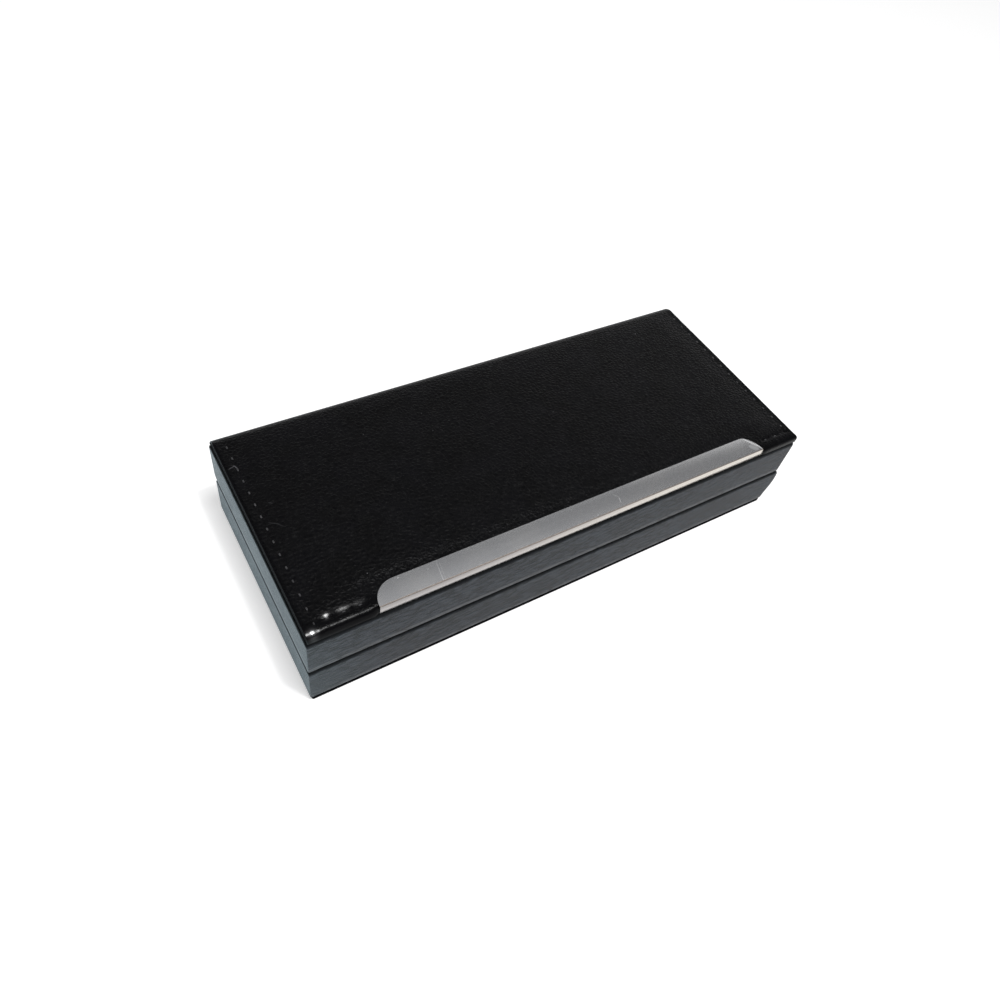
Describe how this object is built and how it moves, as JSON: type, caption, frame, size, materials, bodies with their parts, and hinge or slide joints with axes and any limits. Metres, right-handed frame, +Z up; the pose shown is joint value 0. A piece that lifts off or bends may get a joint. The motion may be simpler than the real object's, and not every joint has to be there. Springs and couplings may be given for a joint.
{
  "type": "pen case",
  "caption": "Hinged rectangular presentation case for a pen, with a padded leather lid, a folded metal strip along its front edge and a grooved foam bed inside.",
  "frame": {"origin": "middle of the underside, on the surface that the case stands on", "axes": "+X along the length, to the right seen from the front; front edge at -Y, hinges at +Y; +Z up"},
  "size_m": [0.175, 0.0754, 0.0348],
  "materials": {
    "leatherette": "matt grained",
    "cover_leather": "satin creased grain",
    "bottom_sheet": "matt",
    "moulding": "fine moulded grain",
    "velvet": "flocked",
    "satin": "satin weave",
    "card": "matt",
    "foam": "open cell",
    "strip": "satin with fine scratches",
    "hinge_steel": "nickel plated"
  },
  "bodies": {
    "base": {"bottom_sheet": "bottom_sheet", "base_wrap": "leatherette", "base_tray": "moulding", "pen_bed": "velvet", "base_leaf_left": "hinge_steel", "base_leaf_right": "hinge_steel", "hinge_pin_left": "hinge_steel", "hinge_pin_right": "hinge_steel", "snap_spring_left": "hinge_steel", "snap_spring_right": "hinge_steel", "base_left_rivet_1": "hinge_steel", "base_left_rivet_2": "hinge_steel", "base_right_rivet_1": "hinge_steel", "base_right_rivet_2": "hinge_steel"},
    "lid": {"lid_wrap": "leatherette", "lid_frame": "moulding", "cover_board": "card", "cover_foam": "foam", "cover_leather": "cover_leather", "trim_plate": "strip", "lining_card": "card", "lining_pad": "satin", "lid_leaf_left": "hinge_steel", "lid_leaf_right": "hinge_steel", "lid_left_rivet_1": "hinge_steel", "lid_left_rivet_2": "hinge_steel", "lid_right_rivet_1": "hinge_steel", "lid_right_rivet_2": "hinge_steel"}
  },
  "joints": [
    {"name": "lid_hinge", "type": "hinge", "parent": "base", "child": "lid", "pos_m": [0, 0.03545, 0.01625], "axis": [-1, 0, 0], "range_deg": [0, 95]}
  ]
}
